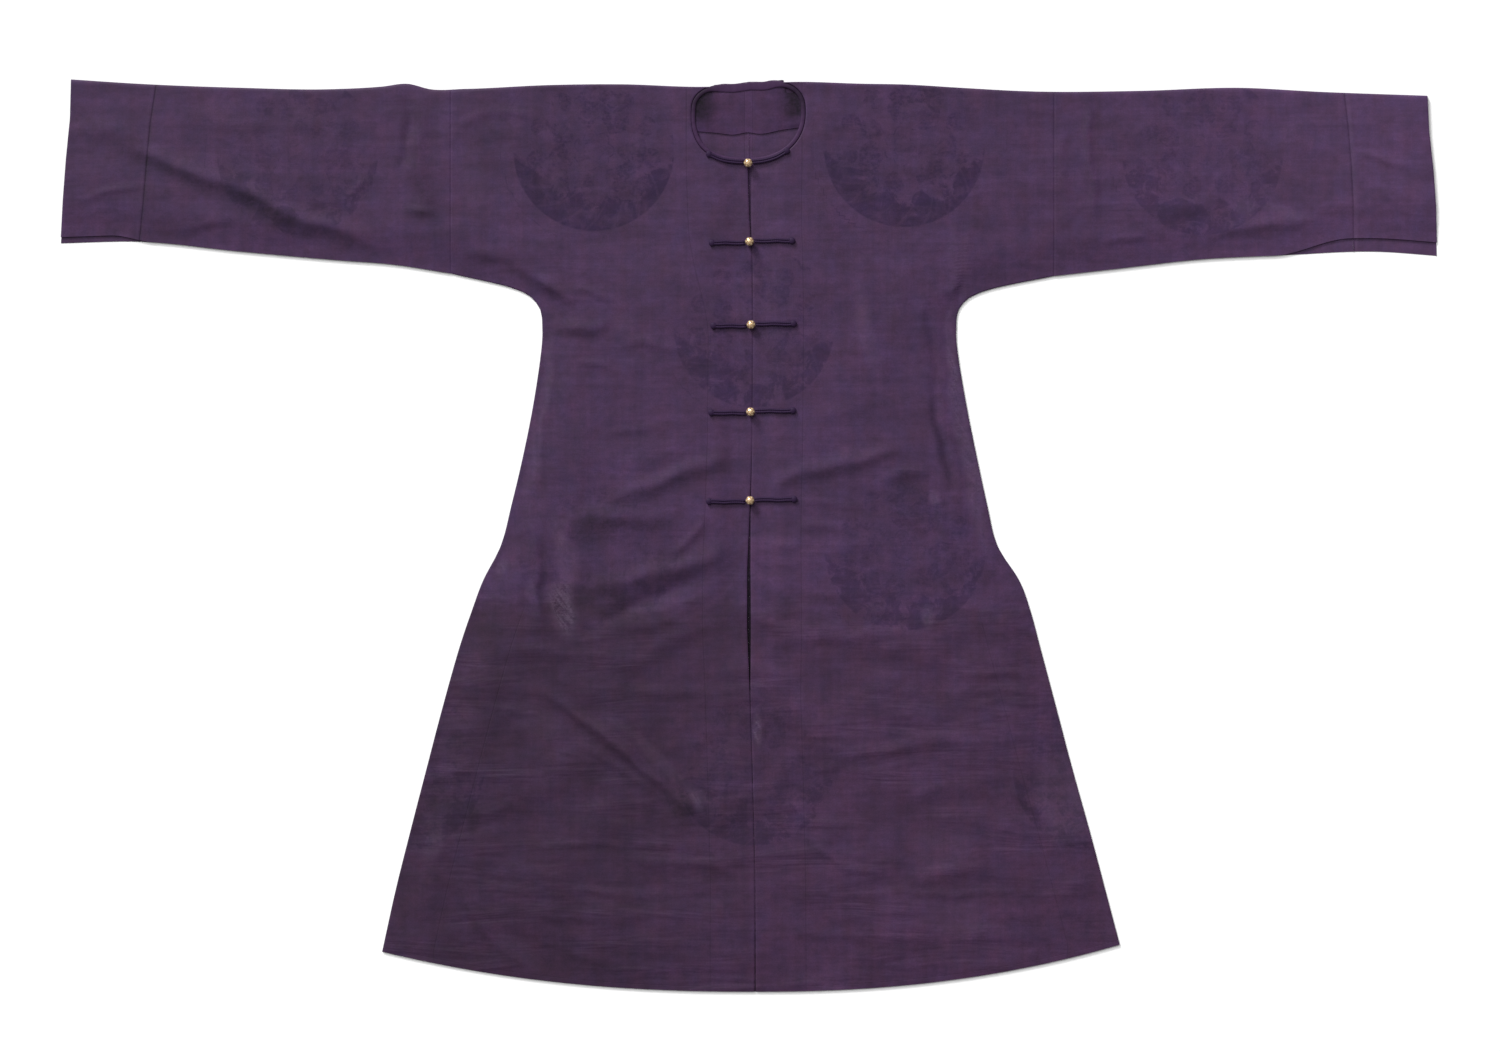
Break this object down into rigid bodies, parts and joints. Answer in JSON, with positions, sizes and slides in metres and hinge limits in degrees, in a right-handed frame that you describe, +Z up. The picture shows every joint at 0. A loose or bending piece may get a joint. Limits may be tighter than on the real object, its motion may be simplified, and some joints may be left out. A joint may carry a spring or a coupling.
{
  "type": "long silk surcoat with ball buttons, laid flat",
  "caption": "Long-sleeved, front-opening silk robe laid flat with its front up: flared vented skirt, round bound neck, cord fastenings with gilt balls.",
  "frame": {"origin": "on the surface it lies on, under the middle of the whole garment", "axes": "+X to the wearer's left across the spread sleeves, +Y from the hem to the neck, +Z up out of the front"},
  "size_m": [1.6508, 1.0943, 0.0158],
  "materials": {
    "silk": "thin figured silk damask, dark purple, soft satin sheen, tone-on-tone roundels",
    "trim": "folded strip of the same silk, a shade darker, satin sheen",
    "cord": "sewn silk cord, doubled, matte",
    "gilt": "chased gilt brass, worn and softly polished"
  },
  "bodies": {
    "root": {"body_right": "silk", "body_left": "silk", "sleeve_right": "silk", "sleeve_left": "silk", "cuff_right": "silk", "cuff_left": "silk", "neck_binding": "trim", "neck_facing": "silk", "button_1": "gilt", "button_2": "gilt", "button_3": "gilt", "button_4": "gilt", "button_5": "gilt", "tab_1": "cord", "tab_2": "cord", "tab_3": "cord", "tab_4": "cord", "tab_5": "cord", "loop_1": "cord", "loop_2": "cord", "loop_3": "cord", "loop_4": "cord", "loop_5": "cord"}
  },
  "joints": []
}
